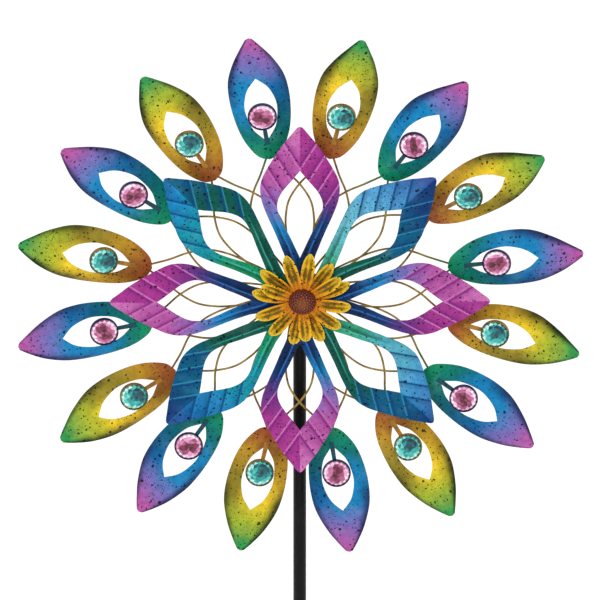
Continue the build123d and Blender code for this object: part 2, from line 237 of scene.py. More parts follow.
class Finish:
    """A node material under construction."""

    def __init__(self, name, roughness=0.4, metallic=0.0, coat=0.0, specular=0.5):
        self.material = bpy.data.materials.new(name)
        self.material.use_nodes = True
        self.tree = self.material.node_tree
        self.shader = self.tree.nodes["Principled BSDF"]
        self.shader.inputs["Roughness"].default_value = roughness
        self.shader.inputs["Metallic"].default_value = metallic
        self.shader.inputs["Coat Weight"].default_value = coat
        self.shader.inputs["Specular IOR Level"].default_value = specular

    def put(self, socket, source):
        """Feed a socket from another socket or a constant."""
        if isinstance(source, bpy.types.NodeSocket):
            self.tree.links.new(source, socket)
        elif isinstance(source, str):
            socket.default_value = linear(source)
        else:
            socket.default_value = source

    def attribute(self, name, output="Fac"):
        node = self.tree.nodes.new("ShaderNodeAttribute")
        node.attribute_name = name
        return node.outputs[output]

    def place(self):
        """The piece's own coordinates, in metres."""
        return self.tree.nodes.new("ShaderNodeTexCoord").outputs["Object"]

    def math(self, operation, a, b=0.0, clamp=False):
        node = self.tree.nodes.new("ShaderNodeMath")
        node.operation = operation
        node.use_clamp = clamp
        self.put(node.inputs[0], a)
        self.put(node.inputs[1], b)
        return node.outputs[0]

    def span(self, source, low, high, start=0.0, end=1.0):
        """A smooth step from start at low to end at high."""
        node = self.tree.nodes.new("ShaderNodeMapRange")
        node.interpolation_type = "SMOOTHSTEP"
        self.put(node.inputs["Value"], source)
        node.inputs["From Min"].default_value = low
        node.inputs["From Max"].default_value = high
        node.inputs["To Min"].default_value = start
        node.inputs["To Max"].default_value = end
        return node.outputs["Result"]

    def ramp(self, source, stops):
        """A colour that changes along a value, from (position, hex colour) stops."""
        node = self.tree.nodes.new("ShaderNodeValToRGB")
        self.put(node.inputs["Fac"], source)
        band = node.color_ramp
        while len(band.elements) < len(stops):
            band.elements.new(1.0)
        for element, (position, code) in zip(band.elements, stops):
            element.position = position
            element.color = linear(code)
        return node.outputs["Color"]

    def mix(self, factor, a, b):
        node = self.tree.nodes.new("ShaderNodeMix")
        node.data_type = "RGBA"
        self.put(node.inputs["Factor"], factor)
        self.put(node.inputs[6], a)
        self.put(node.inputs[7], b)
        return node.outputs[2]

    def noise(self, vector, size, detail=2.0):
        """Soft noise whose features are about size millimetres."""
        node = self.tree.nodes.new("ShaderNodeTexNoise")
        self.put(node.inputs["Vector"], vector)
        node.inputs["Scale"].default_value = 1 / (size * millimetre)
        node.inputs["Detail"].default_value = detail
        return node.outputs["Fac"]

    def flecks(self, vector, cell, radius, share, flat=False):
        """A mask of round-ish dots of mixed sizes, one at most in each cell."""
        node = self.tree.nodes.new("ShaderNodeTexVoronoi")
        node.voronoi_dimensions = "2D" if flat else "3D"
        self.put(node.inputs["Vector"], vector)
        node.inputs["Scale"].default_value = 1 / (cell * millimetre)
        split = self.tree.nodes.new("ShaderNodeSeparateColor")
        self.tree.links.new(node.outputs["Color"], split.inputs[0])
        slope = radius / cell / share
        own_radius = self.math("MULTIPLY", self.math("SUBTRACT", split.outputs[0], 1 - share), slope)
        inside = self.math("SUBTRACT", own_radius, node.outputs["Distance"])
        return self.math("MULTIPLY", inside, 5 * cell, clamp=True)

    def warped(self, vector, amount, size):
        """A place pushed about by noise, so that dots aren't round."""
        node = self.tree.nodes.new("ShaderNodeTexNoise")
        self.put(node.inputs["Vector"], vector)
        node.inputs["Scale"].default_value = 1 / (size * millimetre)
        push = self.tree.nodes.new("ShaderNodeVectorMath")
        push.operation = "MULTIPLY_ADD"
        self.put(push.inputs[0], node.outputs["Color"])
        push.inputs[1].default_value = [amount * millimetre] * 3
        self.put(push.inputs[2], vector)
        return push.outputs[0]

    def bump(self, *layers):
        """Relief from (height socket, depth in millimetres) layers."""
        normal = None
        for height, depth in layers:
            node = self.tree.nodes.new("ShaderNodeBump")
            node.inputs["Distance"].default_value = depth * millimetre
            self.put(node.inputs["Height"], height)
            if normal is not None:
                self.put(node.inputs["Normal"], normal)
            normal = node.outputs["Normal"]
        self.put(self.shader.inputs["Normal"], normal)

    def colour(self, source):
        self.put(self.shader.inputs["Base Color"], source)

    def rough(self, source):
        self.put(self.shader.inputs["Roughness"], source)


def black_flecks(finish, place, more=1.0, flat=True, dusty=0.0):
    """The splatter over every painted leaf: drops, specks and dust."""
    loose = finish.warped(finish.warped(place, 3.2, 3.4), 1.6, 1.3)
    drops = finish.flecks(loose, 10.0, 1.7 * more, 0.6, flat)
    specks = finish.flecks(loose, 4.6, 1.1 * more, 0.65, flat)
    dust = finish.flecks(loose, 2.0, 0.62 * more, 0.75, flat)
    patches = finish.span(finish.noise(place, 26), 0.40, 0.60, 0.25, 1.0)
    fine = finish.math("MULTIPLY", dust, finish.math("MAXIMUM", patches, dusty))
    return finish.math("MAXIMUM", finish.math("MAXIMUM", drops, specks), fine)


def airbrushed(finish, along, across, left, middle, right, edge):
    """Three runs of pigment side by side: along the left edge, the middle and the right."""
    to_middle = finish.span(across, edge[0], edge[1])
    to_right = finish.span(across, edge[2], edge[3])
    colour = finish.mix(to_middle, finish.ramp(along, left), finish.ramp(along, middle))
    return finish.mix(to_right, colour, finish.ramp(along, right))


def shaded_edges(finish, colour, along, across, shade):
    """Painted shade on both edges of a vane's outer half, where the curled sheet turns from the light.
    """
    near_edge = finish.span(finish.math("ABSOLUTE", across), 0.66, 1.02)
    begins = finish.span(along, 0.38, 0.62)
    fades = finish.span(along, 0.86, 1.0, 1.0, 0.5)
    amount = finish.math("MULTIPLY", near_edge, finish.math("MULTIPLY", begins, fades))
    return finish.mix(finish.math("MULTIPLY", amount, 0.8), colour, shade)


def pressed_veins(finish, colour, across, dark, light):
    """Slanting veins: a pleat's painted shadow, a dark line of painted shade in the groove and a light
    line of painted highlight beside it on the ridge.
    """
    veined = finish.attribute("veined")
    whole = finish.math("FRACT", finish.math("ADD", finish.attribute("vein"), 0.5))
    offset = finish.math("SUBTRACT", whole, 0.5)
    pleat = finish.math(
        "MULTIPLY", finish.span(offset, -0.48, 0.0), finish.span(offset, 0.0, 0.03, 1.0, 0.0)
    )
    pleat = finish.math("MULTIPLY", finish.math("MULTIPLY", pleat, veined), 0.42)
    colour = finish.mix(pleat, colour, dark)
    line = finish.span(finish.math("ABSOLUTE", offset), 0.02, 0.11, 1.0, 0.0)
    line = finish.math("MULTIPLY", line, finish.math("MULTIPLY", veined, 0.85))
    colour = finish.mix(line, colour, dark)
    is_right = finish.span(across, -0.04, 0.04)
    is_left = finish.math("SUBTRACT", 1.0, is_right)
    strength = finish.math(
        "ADD", finish.math("MULTIPLY", is_right, 0.45), finish.math("MULTIPLY", is_left, 0.2)
    )
    beside = finish.math("ABSOLUTE", finish.math("SUBTRACT", offset, 0.17))
    gleam = finish.math("MULTIPLY", finish.span(beside, 0.01, 0.08, 1.0, 0.0), veined)
    return finish.mix(finish.math("MULTIPLY", gleam, strength), colour, light)


def creased_arms(finish, colour, wander, dark, light):
    """The crease along a petal's arms: painted shade in the fold with a painted highlight on the crest
    beside it.
    """
    armed = finish.attribute("armed")
    rib = finish.math("ADD", finish.attribute("rib"), finish.math("MULTIPLY", wander, 0.35))
    # Painted shade down the fold, then a painted highlight along the crest
    fold = finish.math(
        "MULTIPLY", finish.span(rib, 0.42, 0.56), finish.span(rib, 0.56, 0.86, 1.0, 0.0)
    )
    fold = finish.math("MULTIPLY", finish.math("MULTIPLY", fold, armed), 0.62)
    colour = finish.mix(fold, colour, dark)
    from_crest = finish.math("ABSOLUTE", finish.math("SUBTRACT", rib, 0.38))
    crest = finish.math("SUBTRACT", 1.0, finish.math("MULTIPLY", from_crest, 12.0), clamp=True)
    crest = finish.math("MULTIPLY", finish.math("MULTIPLY", crest, armed), 0.5)
    return finish.mix(crest, colour, light)


def leaf_paint(name, left, middle, right, edge, haze_and_sheen, veins=None, shade=None):
    """Airbrushed, splattered paint on a leaf, from its base colours to its tip colours."""
    finish = Finish(name, roughness=0.36, specular=0.07)
    place = finish.attribute("flat_place", "Vector")
    drift = finish.math("MULTIPLY", finish.math("SUBTRACT", finish.noise(place, 34), 0.5), 0.12)
    along = finish.math("ADD", finish.attribute("along"), drift)
    across = finish.attribute("across")
    wander = finish.math("MULTIPLY", finish.math("SUBTRACT", finish.noise(place, 18), 0.5), 0.25)
    wandering = finish.math("ADD", across, wander)
    colour = airbrushed(finish, along, wandering, left, middle, right, edge)
    # Pale random haze, and painted sheen with extra dust on the arms of the petals that face the
    # light, both towards the haze and sheen colours
    haze = finish.span(finish.noise(place, 24, 3.0), 0.50, 0.74, 0.0, 0.30)
    thinning = finish.span(along, 0.55, 0.9, 0.7, 0.2)
    sheen_and_dust = finish.math("MULTIPLY", finish.attribute("sheen_and_dust"), thinning)
    haze_share, haze_and_sheen_colours = haze_and_sheen
    amount = finish.math("ADD", finish.math("MULTIPLY", haze, haze_share), sheen_and_dust)
    colour = finish.mix(amount, colour, finish.ramp(along, haze_and_sheen_colours))
    tone = finish.span(finish.noise(place, 7, 4.0), 0.3, 0.7, 0.0, 0.22)
    colour = finish.mix(tone, colour, "101418")
    # Painted shade along both edges of a vane's outer half
    if shade:
        colour = shaded_edges(finish, colour, along, wandering, shade)
    # Painted shade and highlight on the pressed veins and the creased arms
    if veins:
        vein_shade, vein_highlight, crease_shade, crease_highlight = veins
        colour = pressed_veins(finish, colour, across, vein_shade, vein_highlight)
        colour = creased_arms(finish, colour, wander, crease_shade, crease_highlight)
    flecks = black_flecks(finish, place, dusty=finish.math("MULTIPLY", sheen_and_dust, 2.5, clamp=True))
    finish.colour(finish.mix(finish.math("MULTIPLY", flecks, 0.9), colour, "08090b"))
    finish.rough(finish.span(finish.noise(place, 9), 0.35, 0.65, 0.30, 0.46))
    finish.bump((finish.noise(place, 11, 3.0), 0.35), (flecks, 0.12))
    return finish.material


# Pigments of the washes
emerald, pine, teal = "108c60", "065446", "0c7070"
lagoon, azure, cobalt, petrol = "0c8ca0", "1480b8", "0c64a0", "04587c"
royal, navy, midnight, indigo = "284890", "0c3870", "102850", "3c4480"
purple, violet, plum = "5c307c", "7868b0", "643870"
magenta, orchid, rose = "a03488", "b0549c", "c870b0"
rust, umber, ochre, gold, lemon = "9c5428", "845820", "b88c24", "d4b024", "ecc828"
olive, moss, lime, leaf, forest = "8c7c24", "303810", "a0b030", "34944c", "145c28"


def wash(*pigments):
    """A run of pigments spread evenly from a leaf's base to its tip."""
    return list(zip(np.linspace(0.05, 0.95, len(pigments)), pigments))


# On the vanes the left and right runs are darker than the middle partly in the paint itself and partly
# as painted shade where the curved sheet turns from the light; shade is the colour of the painted
# shade on the edges.
blue_vane_paint = leaf_paint(
    "blue_vane_paint",
    left=wash(emerald, teal, azure, cobalt, indigo, plum),
    middle=wash(emerald, teal, azure, azure, azure, violet, orchid),
    right=wash(emerald, teal, petrol, cobalt, violet, orchid),
    edge=(-0.95, -0.55, 0.05, 0.6),
    haze_and_sheen=(0.45, wash("84c4b4", "6cb4dc", "a88cc4")),
    shade="1c1c40",
)
gold_vane_paint = leaf_paint(
    "gold_vane_paint",
    left=wash(rust, ochre, ochre, olive, moss, forest),
    middle=wash(rust, umber, gold, lemon, lime, leaf),
    right=wash(rust, ochre, olive, olive, lime, leaf),
    edge=(-1.02, -0.42, 0.05, 0.65),
    haze_and_sheen=(0.45, wash("dca468", "e8cc50", "98c850")),
    shade="10200c",
)
magenta_left = wash(navy, azure, violet, orchid, orchid, rose)
magenta_petal_paint = leaf_paint(
    "magenta_petal_paint",
    left=magenta_left,
    middle=magenta_left,
    right=wash(midnight, navy, purple, magenta, magenta, magenta),
    edge=(-2.0, -1.9, -0.03, 0.03),
    haze_and_sheen=(0.12, wash("6ca0d8", "c88cd0", "e0a4d0")),
    veins=("7a2074", "e098d0", "04123c", "3c8cd8"),
)
teal_left = wash(emerald, lagoon, lagoon, azure, cobalt, royal)
teal_petal_paint = leaf_paint(
    "teal_petal_paint",
    left=teal_left,
    middle=teal_left,
    right=wash(pine, pine, petrol, petrol, navy, navy),
    edge=(-2.0, -1.9, -0.03, 0.03),
    haze_and_sheen=(0.3, wash("64c8b0", "98dcf0", "74b8e8", "8098d8")),
    veins=("043c70", "3c9cc4", "02302c", "50c8b0"),
)


def stem_paint(name, code):
    """The strap and seat behind a jewel, in the vane's base colour."""
    finish = Finish(name, roughness=0.4, specular=0.1)
    place = finish.place()
    colour = finish.mix(finish.span(finish.noise(place, 9), 0.3, 0.7, 0.0, 0.5), code, "2a2620")
    flecks = black_flecks(finish, place, 1.0, False)
    finish.colour(finish.mix(finish.math("MULTIPLY", flecks, 0.9), colour, "0a0b0d"))
    finish.bump((finish.noise(place, 4), 0.2))
    return finish.material


def spotted_metal(name, light, dark, roughness, metallic=0.0, fleck_share=0.8):
    """Worn paint or plating with patches and specks."""
    finish = Finish(name, roughness=roughness, metallic=metallic, specular=0.2)
    place = finish.place()
    patches = finish.span(finish.noise(place, 8, 4.0), 0.32, 0.68)
    colour = finish.mix(patches, light, dark)
    flecks = black_flecks(finish, place, 1.0, False)
    colour = finish.mix(finish.math("MULTIPLY", flecks, fleck_share), colour, "0c0b09")
    finish.colour(colour)
    finish.rough(finish.span(finish.noise(place, 3), 0.3, 0.7, roughness - 0.08, roughness + 0.1))
    finish.bump((finish.noise(place, 2.5, 3.0), 0.08))
    return finish.material


def wire_paint():
    """Antique gold on the wire, with green or brown overspray near the vanes."""
    finish = Finish("wire_paint", roughness=0.42, metallic=0.1, specular=0.15)
    place = finish.place()
    gold = finish.mix(finish.span(finish.noise(place, 9, 3.0), 0.35, 0.65), "a8893c", "7c6228")
    near = finish.span(finish.attribute("along"), 0.74, 0.98)
    spray = finish.mix(finish.span(finish.attribute("to_blue"), 0.3, 0.7), "7c5a24", "2c6a38")
    colour = finish.mix(finish.math("MULTIPLY", near, 0.8), gold, spray)
    flecks = black_flecks(finish, place, 1.0, False)
    finish.colour(finish.mix(finish.math("MULTIPLY", flecks, 0.85), colour, "0c0b09"))
    finish.bump((finish.noise(place, 1.5), 0.05))
    return finish.material


def jewel_glass(name, stops):
    """Foil-backed glass: each facet's colour is a painted reflection, up to a white painted highlight,
    under a clear gloss.
    """
    finish = Finish(name, roughness=0.12, coat=0.25, specular=0.25)
    finish.shader.inputs["Coat Roughness"].default_value = 0.03
    place = finish.place()
    shift = finish.math("MULTIPLY", finish.math("SUBTRACT", finish.noise(place, 3.5), 0.5), 0.2)
    finish.colour(finish.ramp(finish.math("ADD", finish.attribute("glint"), shift), stops))
    finish.bump((finish.noise(place, 6), 0.05))
    return finish.material


def satin_black():
    """Powder coat: near-black with a fine orange-peel skin and dusty scuffs."""
    finish = Finish("stake_black", roughness=0.38, specular=0.12)
    place = finish.place()
    scuffs = finish.span(finish.noise(place, 14, 5.0), 0.52, 0.78, 0.0, 0.5)
    finish.colour(finish.mix(scuffs, "0b0a0a", "241e1c"))
    finish.rough(finish.span(finish.noise(place, 5), 0.3, 0.7, 0.34, 0.5))
    finish.bump((finish.noise(place, 1.2), 0.04), (finish.noise(place, 30), 0.15))
    return finish.material


def daisy_paint():
    """Yellow straps washed brown along their grooves, orange at the root."""
    finish = Finish("daisy_paint", roughness=0.38, specular=0.08)
    place = finish.attribute("flat_place", "Vector")
    along = finish.attribute("along")
    groove = finish.attribute("groove")
    blotch = finish.math("MULTIPLY", finish.noise(place, 9, 4.0), 1.5)
    stain = finish.math(
        "ADD", finish.math("MULTIPLY", groove, 0.8), finish.math("SUBTRACT", blotch, 0.12)
    )
    body = finish.ramp(along, [(0.16, "c87814"), (0.34, "d8901a"), (0.70, "e0ac18"), (0.98, "dcb830")])
    fade = finish.math(
        "MULTIPLY", finish.span(along, 0.1, 0.35), finish.span(along, 0.7, 1.0, 1.0, 0.2)
    )
    amount = finish.math("MULTIPLY", finish.span(stain, 0.74, 1.4, 0.0, 0.95), fade)
    colour = finish.mix(amount, body, "5c4812")
    streaks = finish.span(finish.noise(place, 1.8, 4.0), 0.55, 0.7, 0.0, 0.6)
    colour = finish.mix(finish.math("MULTIPLY", streaks, fade), colour, "4a3410")
    flecks = black_flecks(finish, place, 0.9)
    finish.colour(finish.mix(flecks, colour, "15110a"))
    finish.bump((finish.noise(place, 2.0, 3.0), 0.25), (flecks, 0.1))
    return finish.material


def seed_paint():
    """Red-brown seeds with painted pinkish highlights on their tops and painted shade between them,
    golden brown in the middle of the head.
    """
    finish = Finish("seed_paint", roughness=0.42, specular=0.2)
    place = finish.place()
    height = finish.attribute("seed")
    # Painted shade low between the seeds, painted pinkish highlight on their tops
    colour = finish.ramp(height, [(0.0, "340f08"), (0.3, "7c2c1a"), (0.75, "a04c34"), (1.0, "d09884")])
    middle = finish.span(finish.attribute("along"), 0.08, 0.5, 0.45, 0.0)
    colour = finish.mix(middle, colour, "96591c")
    pits = finish.span(finish.noise(place, 1.5), 0.55, 0.7, 0.0, 0.6)
    finish.colour(finish.mix(pits, colour, "30160e"))
    finish.bump((finish.noise(place, 0.8, 3.0), 0.3))
    return finish.material


# Vanes

vane_side = smooth_curve(
    [(0, 160), (11, 164.6), (20.5, 178), (26.6, 193), (30.4, 212), (31.8, 234), (29.4, 256),
     (20.8, 278), (11.2, 294), (4.5, 303.5), (2.4, 305.5), (0, 306)], 46
)
eye_side = smooth_curve(
    [(0, 182), (6.2, 189.5), (12, 198), (15.6, 210), (17, 224), (14.4, 237), (9.6, 247.5),
     (0, 258)], 46
)
vane_rows = 10


def vane_forward(x):
    """How far forward the bent sheet's front is: two arcs sharing the ridge."""
    from_ridge = x - vane_ridge_x
    radius = np.where(from_ridge < 0, vane_tight_radius, vane_gentle_radius)
    return vane_ridge_forward - radius + np.sqrt(radius**2 - from_ridge**2)


def vane_shell(number):
    """Points, faces and attributes of one vane."""
    outer, inner = full_loop(vane_side), full_loop(eye_side)
    share = np.linspace(0, 1, vane_rows + 1)[:, None, None]
    grid = (inner + (outer - inner) * share).reshape(-1, 2)
    x, out = grid[:, 0], grid[:, 1]
    half = np.interp(out, vane_side[:, 1], vane_side[:, 0])
    forward = vane_forward(x)
    flat = np.column_stack([x + 300.0 * number, out, np.zeros(len(x))]) * millimetre
    along = (out - vane_base) / (vane_tip - vane_base)
    across = np.clip(x / np.maximum(half, 3.0), -1, 1)
    angle = (number - 0.5) * vane_step
    front = wheel_points(*leaning(x, out, forward), angle)
    back = wheel_points(*leaning(x, out, forward - sheet), angle)
    doubled = {
        "flat_place": np.vstack([flat, flat]),
        "along": np.tile(along, 2),
        "across": np.tile(across, 2),
        "sheen_and_dust": np.zeros(2 * len(x)),
    }
    return np.vstack([front, back]), ring_faces(vane_rows, len(outer)), doubled


for number in range(vane_count):
    colour = "gold" if number % 2 else "blue"
    paint = gold_vane_paint if number % 2 else blue_vane_paint
    points, faces, attributes = vane_shell(number)
    build = Build()
    build.add(points, faces, **attributes)
    node = f"{colour}_vane_{number // 2 + 1}"
    build.piece(f"painted_{node}", paint, "rear_wheel", f"{colour}_vane_paint", [node], 50)


def on_vane(points, number):
    """Points drawn round a jewel's centre, carried by a vane's lean and angle."""
    moved = leaning(points[:, 0], points[:, 1] + jewel_out, points[:, 2])
    return wheel_points(*moved, (number - 0.5) * vane_step)


def box_faces():
    """The faces of a block whose points are listed near then far, each as a loop."""
    return [(0, 1, 2, 3), (7, 6, 5, 4), (0, 4, 5, 1), (1, 5, 6, 2), (2, 6, 7, 3), (3, 7, 4, 0)]


def stem_shell():
    """A strap from inside the vane's base to the jewel's seat, a little narrower on top."""
    low, high = 178 - jewel_out, -13.0
    near = vane_ridge_forward - 0.05
    ends = [(-2.6, low), (2.6, low), (2.1, high), (-2.1, high)]
    points = [(x, out, near) for x, out in ends] + [(x, out, near - sheet) for x, out in ends]
    return np.array(points, float), box_faces()


seat_profile = [(0.01, 24.0), (14.6, 24.0), (15.3, 24.3), (15.3, 24.8), (14.6, 25.0), (0.01, 25.0)]
rim_profile = [(15.4, 25.0), (15.5, 27.4), (15.3, 28.7), (14.9, 29.2), (14.5, 28.9), (14.2, 28.0),
               (14.0, 25.0)]
bead_profile = [(14.9, 25.0), (15.0, 26.6), (15.3, 27.8), (15.1, 28.7), (14.7, 29.1), (14.3, 28.8),
                (14.1, 27.9), (14.0, 25.0)]


def painted_facet_reflections(generator, colour, number):
    """Painted reflections in a jewel's facets: how light each part looks, by turn and by ring from the
    middle out.
    """
    shift = generator.uniform(-0.6, 0.6) - radians((number - 0.5) * vane_step)

    def light(turn, ring):
        if colour == "pink":
            return (0.12, 0.50, 0.78)[ring] + 0.16 * sin(2 * turn + shift)
        # The teal jewels' dark patch is a painted reflection that stays to the upper right at any vane
        # angle
        shade = max(0.0, cos(turn - 1.1 - shift)) ** 0.7
        return (0.26, 0.56, 0.74)[ring] - (0.26, 0.50, 0.36)[ring] * shade

    return light


def gem_shell(generator, facet_reflection):
    """A round brilliant with a fan of facets under its table, each facet given a painted reflection
    value.
    """
    def ring(radius, forward, count, offset=0.0):
        turn = (np.arange(count) + offset) * 2 * pi / count
        return np.column_stack([radius * np.sin(turn), radius * np.cos(turn), np.full(count, forward)])

    rings = [ring(4.4, 30.45, 8), ring(8.6, 30.0, 8, 0.5), ring(11.6, 29.1, 16),
             ring(14.0, 27.4, 16, 0.5), ring(13.9, 25.0, 16, 0.5)]
    points = np.vstack([[[0, 0, 30.55]]] + rings + [[[0, 0, 25.0]]])
    a, b, c, d, e = 1, 9, 17, 33, 49
    bottom = len(points) - 1
    faces = []
    depth = []
    for k in range(8):
        n = (k + 1) % 8
        before = (k - 1) % 8
        turn = k * pi / 4
        inner, outer = facet_reflection(turn, 0), facet_reflection(turn + pi / 8, 1)
        faces += [(0, a + k, a + n), (a + k, b + k, a + n), (a + k, b + before, b + k)]
        depth += [inner, facet_reflection(turn + pi / 8, 0) + 0.12, inner + 0.22]
        p, q, r = c + 2 * k, c + 2 * k + 1, c + (2 * k + 2) % 16
        faces += [(b + before, p, b + k), (b + k, p, q), (b + k, q, r)]
        depth += [outer - 0.1, outer, outer + 0.12]
    for k in range(16):
        n = (k + 1) % 16
        before = (k - 1) % 16
        faces += [(c + k, d + before, d + k), (c + k, d + k, c + n)]
        depth += [facet_reflection(k * pi / 8, 2) - 0.12, facet_reflection(k * pi / 8, 2) + 0.1]
        faces += [(d + k, e + k, e + n, d + n), (e + k, bottom, e + n)]
        depth += [0.5, 0.3]
    noise = generator.uniform(-0.13, 0.13, len(depth))
    return points, faces, np.clip(np.array(depth) + noise, 0, 1)


navy_enamel = spotted_metal("navy_enamel", "1e2450", "141838", 0.25, 0.1, 0.3)
gold_bead = spotted_metal("gold_bead", "a08038", "5c4620", 0.32, 0.4, 0.5)
# Ramps for the painted facet reflections, dark to a white painted highlight
pink_glass = jewel_glass("pink_glass", [
    (0.0, "42121e"), (0.2, "6e2a44"), (0.38, "9c4a6e"), (0.55, "c87aa6"), (0.72, "e8aed0"),
    (0.9, "f8dcec"), (1.0, "ffffff")])
teal_glass = jewel_glass("teal_glass", [
    (0.0, "12343c"), (0.2, "1c5660"), (0.38, "1c8a88"), (0.55, "48b8ac"), (0.72, "96dcd0"),
    (0.9, "d2f2ea"), (1.0, "ffffff")])
blue_stem_paint = stem_paint("blue_stem_paint", "17505c")
gold_stem_paint = stem_paint("gold_stem_paint", "a8762a")

generator = np.random.default_rng(7)
for colour, first, rim, rim_paint, rim_slot, glass, stem_finish in (
    ("pink", 0, (rim_profile, 56, 0, 0.0), navy_enamel, "navy_bezel", pink_glass, blue_stem_paint),
    ("teal", 1, (bead_profile, 216, 36, 0.9), gold_bead, "gold_bezel", teal_glass, gold_stem_paint),
):
    stems, bezels, gems = Build(), Build(), Build()
    for number in range(first, vane_count, 2):
        points, faces = stem_shell()
        stems.add(on_vane(points, number), faces)
        points, faces = lathe(seat_profile, 40)
        stems.add(on_vane(points, number), faces)
        points, faces = lathe(*rim)
        bezels.add(on_vane(points, number), faces)
        points, faces, depth = gem_shell(generator, painted_facet_reflections(generator, colour, number))
        gems.add(on_vane(points, number), faces, depth)
    paint_slot = "blue_vane_paint" if colour == "pink" else "gold_vane_paint"
    stems.piece(f"{colour}_jewel_stems", stem_finish, "rear_wheel", paint_slot)
    bezels.piece(f"{colour}_bezel_rims", rim_paint, "rear_wheel", rim_slot, [f"{colour}_bezels"])
    gems.piece(f"{colour}_cut_jewels", glass, "rear_wheel", f"{colour}_jewel",
               [f"{colour}_jewels"], 1)

# Wire loops

wire_radius = 1.15
wire_forward = 22.9
wire_inner = 22.0
wire_outer = 158.0
hairpin_out = 20.0
leg_reach = 141.0
leg_route = smooth_curve(
    [(0, 20), (6.0, 22.5), (10.2, 34), (12.6, 50), (14.0, 68), (15.0, 88), (11.4, 109), (0, 128),
     (-14.5, 143.5), (-28.6, 160.4)], 72
)


def tube(path, radius, sides=8):
    """A closed tube along a path of (x, out, forward) points."""
    tangent = np.gradient(path, axis=0)
    tangent /= np.linalg.norm(tangent, axis=1)[:, None]
    up = np.tile([0.0, 0.0, 1.0], (len(path), 1))
    sideways = np.cross(tangent, up)
    sideways /= np.linalg.norm(sideways, axis=1)[:, None]
    up = np.cross(sideways, tangent)
    rings = []
    for k in range(sides):
        turn = 2 * pi * k / sides
        rings.append(path + radius * (cos(turn) * sideways + sin(turn) * up))
    points = np.stack(rings, axis=1).reshape(-1, 3)
    faces = []
    for i in range(len(path) - 1):
        for k in range(sides):
            n = (k + 1) % sides
            faces.append((i * sides + k, i * sides + n, (i + 1) * sides + n, (i + 1) * sides + k))
    last = (len(path) - 1) * sides
    faces += [tuple(range(sides)), tuple(last + k for k in range(sides))]
    return points, faces


wires = Build()
for number in range(vane_count):
    right = np.column_stack([leg_route, np.zeros(len(leg_route))])
    left = right[::-1][:-1] * [-1, 1, 1]
    path = np.vstack([left, right])
    out = path[:, 1]
    apart = np.clip((out - wire_inner) / 10, 0, 1) * np.clip((wire_outer - out) / 12, 0, 1)
    apart *= wire_radius
    path[:, 2] = wire_forward + np.where(np.arange(len(path)) < len(left), -apart, apart)
    points, faces = tube(path, wire_radius)
    along = np.clip((points[:, 1] - hairpin_out) / leg_reach, 0, 1)
    ends_blue = number % 2 == 1
    to_blue = np.where((points[:, 0] > 0) == ends_blue, 1.0, 0.0)
    placed = wheel_points(points[:, 0], points[:, 1], points[:, 2], number * vane_step)
    wires.add(placed, faces, along=along, to_blue=to_blue)
wires.piece("painted_wire_loops", wire_paint(), "rear_wheel", "gold_wire_paint", ["wire_loops"], 60)

# Front petals

petal_side = smooth_curve(
    [(0, 13.5), (4.1, 13.5), (10.6, 33), (16.4, 52), (19.6, 60), (26.0, 77), (34.6, 98),
     (40.2, 114), (42, 128), (40, 140), (34.5, 152), (26.8, 166), (18.2, 180), (9.0, 192.5),
     (3.0, 200.4), (0, 202)], 84
)
pierce_side = smooth_curve(
    [(0, 50), (5.4, 62), (11.4, 75.5), (18.0, 89), (23.0, 102), (24.0, 112), (21.6, 121),
     (16.4, 130), (7.6, 141.5), (0, 152)], 84
)
petal_rows = 12
# Painted sheen on the left half of the second and fourth petals, whose arms face the light
petal_sheen = [0.0, 0.62, 0.0, 0.42, 0.0, 0.0, 0.0, 0.0]
petal_green = [0.0, 0.0, 0.0, 0.20, 0.0, 0.10, 0.0, 0.45]
pierce_inner = 50.0
fold_run = 26.0
arm_end = 98.0
crease_end = 112.0
crease_depth = 3.2
vein_origin = 158.0
vein_pitch = 15.2
vein_lean = radians(32)
vein_depth = 0.5


def petal_shell(number):
    """Points, faces and attributes of one petal, with creased arms and pressed veins."""
    outer, inner = full_loop(petal_side), full_loop(pierce_side)
    share = np.linspace(0, 1, petal_rows + 1)[:, None, None]
    grid = (inner + (outer - inner) * share).reshape(-1, 2)
    v = np.repeat(share.ravel(), len(outer))
    x, out = grid[:, 0], grid[:, 1]
    folded = np.clip((out - petal_flat_reach) / fold_run, 0, 1)
    forward = petal_forward - petal_fold * np.abs(x) * folded
    arm = np.clip((arm_end - out) / 30, 0, 1) * np.clip((out - 40) / 12, 0, 1)
    forward = forward - crease_depth * arm * np.abs(2 * v - 1)
    vein = (np.abs(x) * cos(vein_lean) - (out - vein_origin) * sin(vein_lean)) / vein_pitch
    veined = np.clip((out - arm_end) / 14, 0, 1) * (vein > -0.5)
    pulse = np.abs(vein - np.round(vein))
    forward = forward - vein_depth * veined * np.clip(1 - pulse / 0.14, 0, 1)
    flat = np.column_stack([x + 300.0 * number, out - 500, np.zeros(len(x))]) * millimetre
    greened = petal_green[number] * np.clip(0.7 + x / 12, 0.4, 1)
    along = (out - pierce_inner) / (petal_tip - pierce_inner) - greened
    half = np.interp(out, petal_side[:, 1], petal_side[:, 0])
    across = np.clip(x / np.maximum(half, 3.0), -1, 1)
    angle = number * petal_step
    front = wheel_points(x, out, forward, angle)
    back = wheel_points(x, out, forward - sheet, angle)
    # Painted sheen, with more dust, on the left half of the petal
    sheen_and_dust = petal_sheen[number] * np.clip(-x / 4, 0, 1)
    doubled = {
        "flat_place": np.vstack([flat, flat]),
        "along": np.tile(along, 2),
        "across": np.tile(across, 2),
        "sheen_and_dust": np.tile(sheen_and_dust, 2),
        "rib": np.tile(v, 2),
        "armed": np.tile(np.clip((crease_end - out) / 30, 0, 1), 2),
        "vein": np.tile(vein, 2),
        "veined": np.tile(veined, 2),
    }
    return np.vstack([front, back]), ring_faces(petal_rows, len(outer)), doubled


